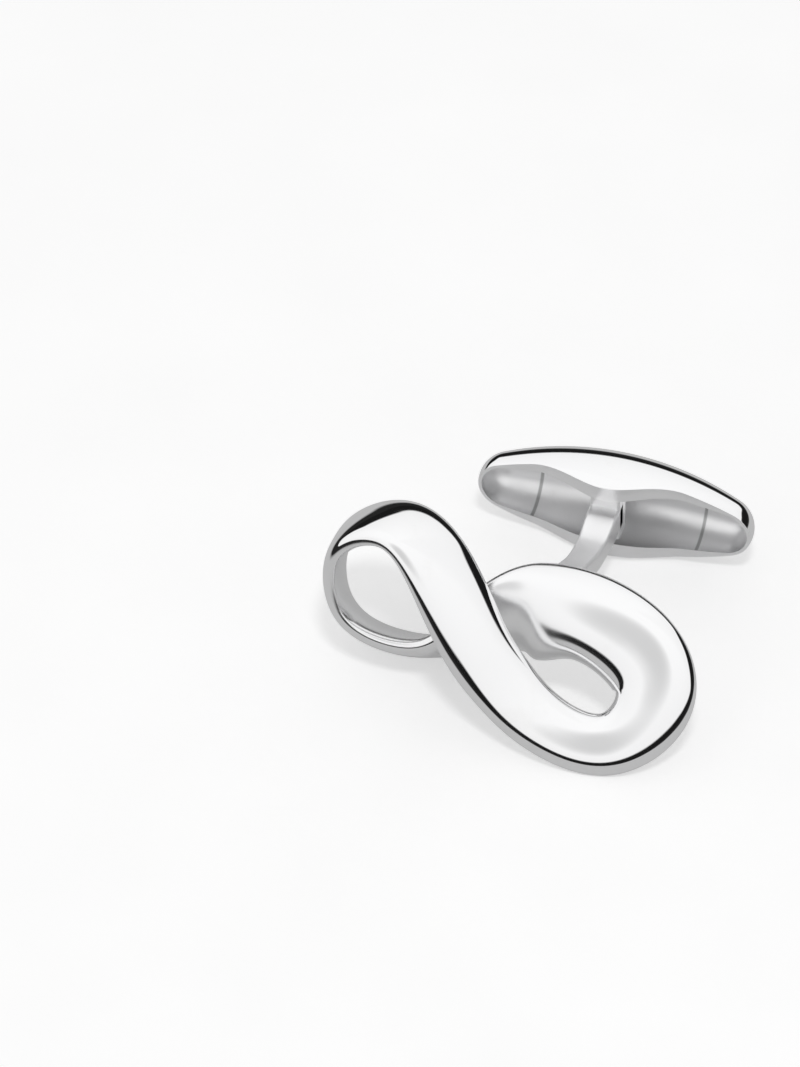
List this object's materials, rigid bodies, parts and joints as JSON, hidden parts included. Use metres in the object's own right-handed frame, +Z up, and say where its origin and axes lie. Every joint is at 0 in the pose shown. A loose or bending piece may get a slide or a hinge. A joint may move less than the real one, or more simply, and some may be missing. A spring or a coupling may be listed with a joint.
{
  "type": "infinity cufflink",
  "caption": "Polished silver cufflink: a band crossing itself in a large and a small loop, with a curved post and a hollow swivel bar behind.",
  "frame": {"origin": "middle of the part's outline on the table it lies on", "axes": "+X along the bar and the front's long way, from the small loop to the large loop; +Y from the front to the bar; +Z up from the table"},
  "size_m": [0.0236, 0.0224, 0.011],
  "materials": {
    "front_silver": "mirror polished silver",
    "bar_silver": "mirror polished silver, satin inside",
    "pin_silver": "plain drawn silver"
  },
  "bodies": {
    "front": {"infinity_front": "front_silver"},
    "toggle": {"back_bar": "bar_silver", "hinge_pin": "pin_silver"}
  },
  "joints": [
    {"name": "toggle_swivel", "type": "hinge", "parent": "front", "child": "toggle", "pos_m": [0.00237, 0.00748, 0.00318], "axis": [0, 0, 1], "range_deg": [-80, 80]}
  ]
}
